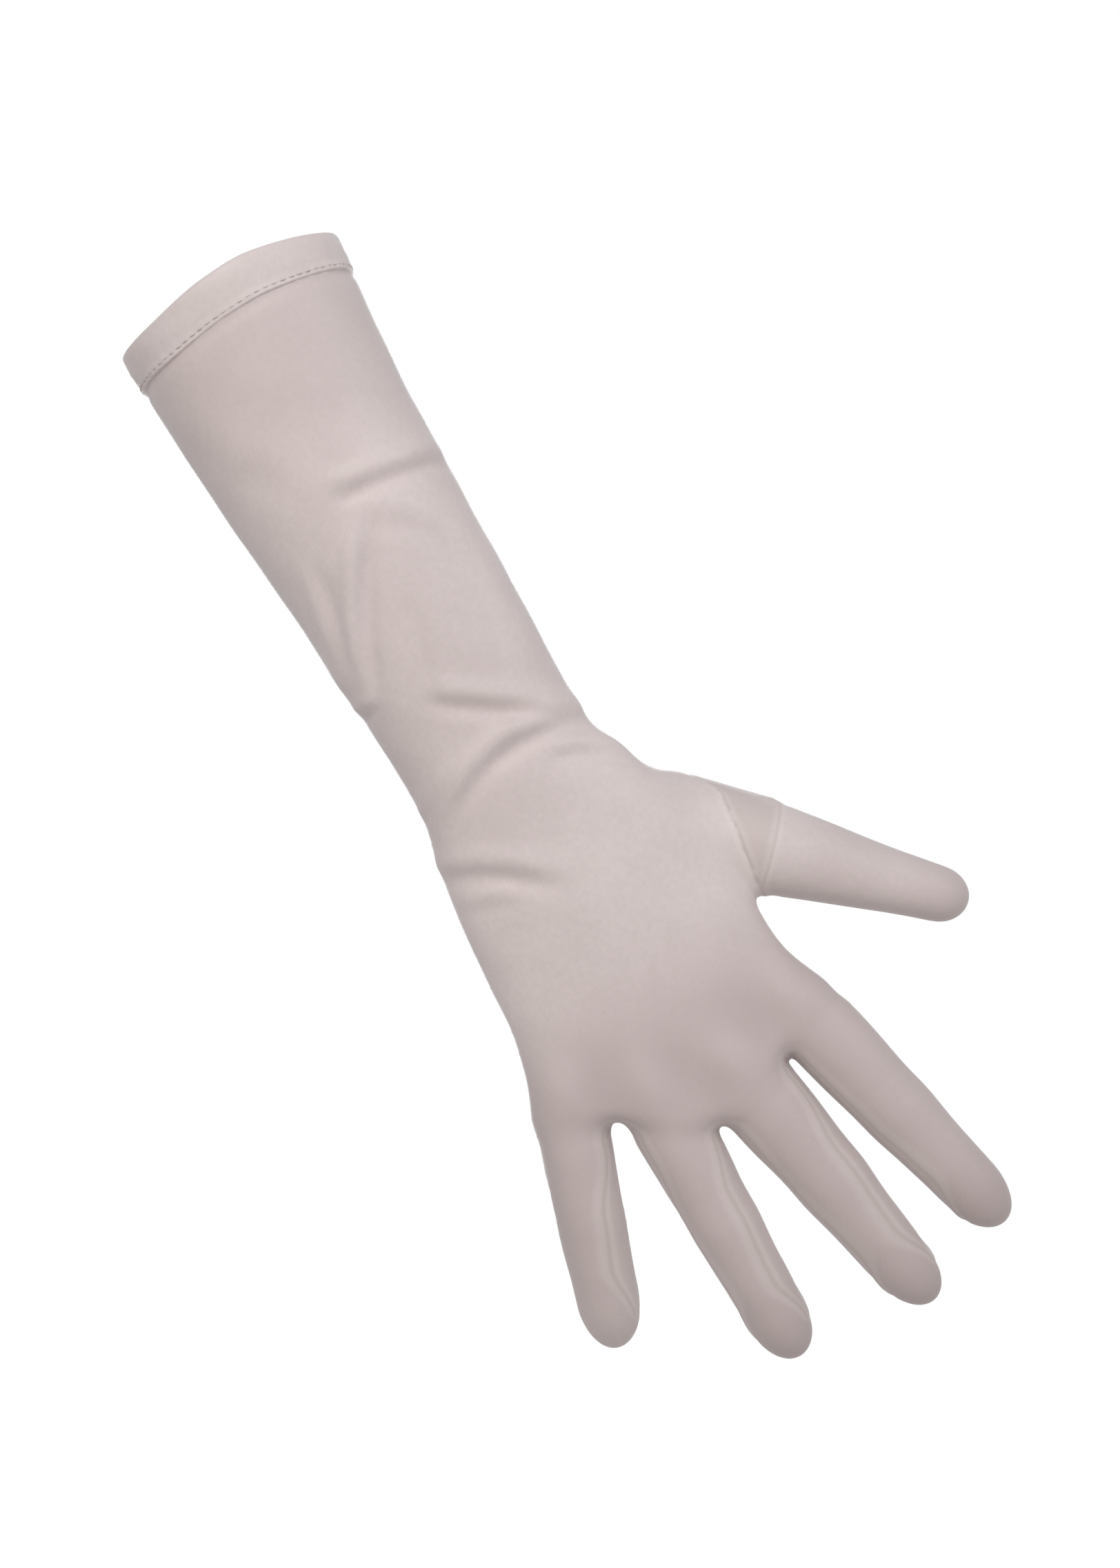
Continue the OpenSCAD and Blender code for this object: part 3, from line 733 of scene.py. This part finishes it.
# %% Make the pieces
def make_piece(name, material):
    """One piece of the cut skin as its own object, with what its material reads stored on its points."""
    rows = [f for f, p in zip(face_points, piece_of) if p == name]
    used = sorted({i for f in rows for i in f})
    renumber = {old: new for new, old in enumerate(used)}
    piece_mesh = bpy.data.meshes.new(name)
    piece_mesh.from_pydata((places[used] * MM).tolist(), [], [[renumber[i] for i in f] for f in rows])
    store(piece_mesh, "seam", seams[used])
    store(piece_mesh, "thin", thin[used])
    store(piece_mesh, "cloth_place", based[used])
    piece_mesh.polygons.foreach_set("use_smooth", [True] * len(rows))
    piece_mesh.normals_split_custom_set_from_vertices(bent[used].tolist())
    piece_mesh.materials.append(material)
    piece = bpy.data.objects.new(name, piece_mesh)
    bpy.context.collection.objects.link(piece)
    return piece


def point_m(p):
    return tuple(float(c) * MM for c in p)


sleeve = make_piece("sleeve_cloth", satin)
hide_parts("sleeve_back", "sleeve_palm", "wrist_folds")
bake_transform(sleeve)

hand = make_piece("hand_cloth", satin)
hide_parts("hand_back", "hand_palm", "knuckle_folds", "knuckles_back", "knuckles_palm")
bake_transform(hand)

gusset_piece = make_piece("thumb_gusset_cloth", side_satin_painted_lighter)
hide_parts("thumb_gusset")
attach(gusset_piece, "hand")
thumb_base = make_piece("thumb_base_cloth", satin)
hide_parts("thumb_root", "thumb_knuckle_fold", "thumb_base")
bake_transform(thumb_base)
thumb_tip = make_piece("thumb_end_cloth", satin)
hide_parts("thumb_middle_fold", "thumb_tip")
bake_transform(thumb_tip)

for finger in FINGERS:
    cloths = [make_piece(finger.name + "_finger_cloth", satin)]
    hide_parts(finger.name + "_fold", finger.name + "_tip_back", finger.name + "_tip_palm")
    for side in ("thumb", "little"):
        name = f"{finger.name}_side_panel_{side}_side"
        if name in set(piece_of):
            cloths.append(make_piece(name, side_satin_painted_lighter))
            ends = "_tip_fourchette" if finger in (LITTLE, INDEX) else "_tip_fourchettes"
            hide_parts(finger.name + ends)
    for cloth in cloths:
        point_m(finger.at(16))
        point_m(finger.at(36))
        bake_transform(cloth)

for gap in GAPS:
    panel = make_piece("side_panel_" + gap, side_satin_painted_lighter)
    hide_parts("fourchette_" + gap)
    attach(panel, "fingers")


# %% [markdown]
# The hem is the sleeve's own edge turned in and stitched down, so it is double cloth: a little prouder than
# the sleeve, soft at its rim, and drawn in slightly along the stitches. It is swept round the arm as one
# strip that runs up the outside, over the rim and down the inside.

# %% Hem
def round_arm(s, turn, out):
    """Points round the sleeve at distance s from the hem's edge, out mm outside its cloth."""
    left, right = little_edge(s), thumb_edge(s)
    c, k = np.cos(turn), np.sin(turn)
    power = 2 / CORNER
    return np.stack([(left + right) / 2 + ((right - left) / 2 + out) * np.sign(c) * np.abs(c) ** power,
                     -(half_depth(s) + out) * np.sign(k) * np.abs(k) ** power, -s], axis=-1)


HEM_PROFILE = [(-0.45, 11.5), (0.1, 11.4), (0.36, 11.0), (0.34, 10.5), (0.28, 10.1), (0.42, 9.2), (0.62, 7.2),
               (0.70, 4.8), (0.66, 2.6), (0.55, 1.1), (0.34, 0.25), (0.0, 0.0), (-0.4, 0.2), (-0.62, 1.0),
               (-0.72, 3.0), (-0.78, 6.0), (-0.74, 9.0), (-0.70, 10.6)]
STITCH_ROW = 10.1
STITCH_RISE = 0.65  # the row follows the hem's arch by this much
ROUND = 240
turns = np.linspace(0, 2 * math.pi, ROUND, endpoint=False)
rings = []
for out, s in HEM_PROFILE:
    ripple = 0.10 * np.sin(turns * 43 + 2 * np.sin(turns * 5)) * math.exp(-((s - 10.2) / 1.6) ** 2)
    ring = round_arm(np.full(ROUND, s), turns, out + ripple + 0.10 * np.sin(turns * 7 + s))
    ring[:, 2] += hem_rise(ring[:, 0], ring[:, 1]) * (1 - 0.35 * s / HEM_HEIGHT)
    rings.append(ring)
hem_points = np.concatenate(rings)
hem_faces = [(i * ROUND + j, i * ROUND + (j + 1) % ROUND,
              (i + 1) * ROUND + (j + 1) % ROUND, (i + 1) * ROUND + j)
             for i in range(len(rings) - 1) for j in range(ROUND)]
hem_mesh = bpy.data.meshes.new("hem_band_cloth")
hem_mesh.from_pydata((hem_points * MM).tolist(), [], hem_faces)
row_rise = STITCH_RISE * hem_rise(hem_points[:, 0], hem_points[:, 1])
store(hem_mesh, "seam", np.abs(-hem_points[:, 2] - STITCH_ROW + row_rise) + 0.3)
store(hem_mesh, "cloth_place", hem_points)
hem_mesh.polygons.foreach_set("use_smooth", [True] * len(hem_faces))
hem_mesh.materials.append(hem_satin)
hem = bpy.data.objects.new("hem_band_cloth", hem_mesh)
bpy.context.collection.objects.link(hem)
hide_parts("hem_band")
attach(hem, "sleeve")
print("hem", len(hem_points), "points")

# %% [markdown]
# One row of machine stitches holds the hem. Each stitch is a short thread that dips into the cloth at both
# ends.

# %% Stitches
STITCH_PITCH, STITCH_HALF, THREAD_RADIUS = 2.7, 1.0, 0.22
THREAD_SIDES = 6
# Each stitch runs through these: how far along its half length, and how high over the cloth in mm
STITCH_SHAPE = ((-1.0, -0.30), (-0.6, 0.06), (0.0, 0.14), (0.6, 0.06), (1.0, -0.30))
all_turns = np.linspace(0, 2 * math.pi, 2000)
measure = round_arm(np.full(2000, STITCH_ROW), all_turns, 0.3)
walk = np.concatenate([[0], np.cumsum(np.linalg.norm(np.diff(measure, axis=0), axis=1))])
stitch_count = int(walk[-1] / STITCH_PITCH)
stitches = bmesh.new()
for k in range(stitch_count):
    sections = []
    for step, dip in STITCH_SHAPE:
        at = np.interp((k + 0.5) * walk[-1] / stitch_count + step * STITCH_HALF, walk, all_turns)
        here = round_arm(np.array([STITCH_ROW]), np.array([at]), 0.32 + dip)[0]
        ahead = round_arm(np.array([STITCH_ROW]), np.array([at + 0.01]), 0.32 + dip)[0]
        here[2] += hem_rise(here[0], here[1]) * STITCH_RISE
        tangent = Vector(ahead - here - np.array([0, 0, ahead[2] - here[2]])).normalized()
        out = Vector((0, 0, 1)).cross(tangent).normalized()
        radius = THREAD_RADIUS * (0.6 if dip < 0 else 1)
        sections.append([stitches.verts.new((Vector(here) + out * radius * math.cos(a)
                                             + Vector((0, 0, 1)) * radius * math.sin(a)) * MM)
                         for a in np.linspace(0, 2 * math.pi, THREAD_SIDES + 1)[:-1]])
    for low, high in zip(sections[:-1], sections[1:]):
        for i in range(THREAD_SIDES):
            after = (i + 1) % THREAD_SIDES
            stitches.faces.new((low[i], low[after], high[after], high[i]))
    stitches.faces.new(sections[0][::-1])
    stitches.faces.new(sections[-1])
bmesh.ops.recalc_face_normals(stitches, faces=stitches.faces)
stitch_mesh = bpy.data.meshes.new("hem_stitches")
stitches.to_mesh(stitch_mesh)
stitches.free()
stitch_mesh.polygons.foreach_set("use_smooth", [True] * len(stitch_mesh.polygons))
stitch_mesh.materials.append(thread_paint)
hem_thread = bpy.data.objects.new("hem_stitches", stitch_mesh)
bpy.context.collection.objects.link(hem_thread)
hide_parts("hem_thread")
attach(hem_thread, "sleeve")
print("stitches", stitch_count)

# %% Remove the uncut skin
bpy.data.meshes.remove(mesh)
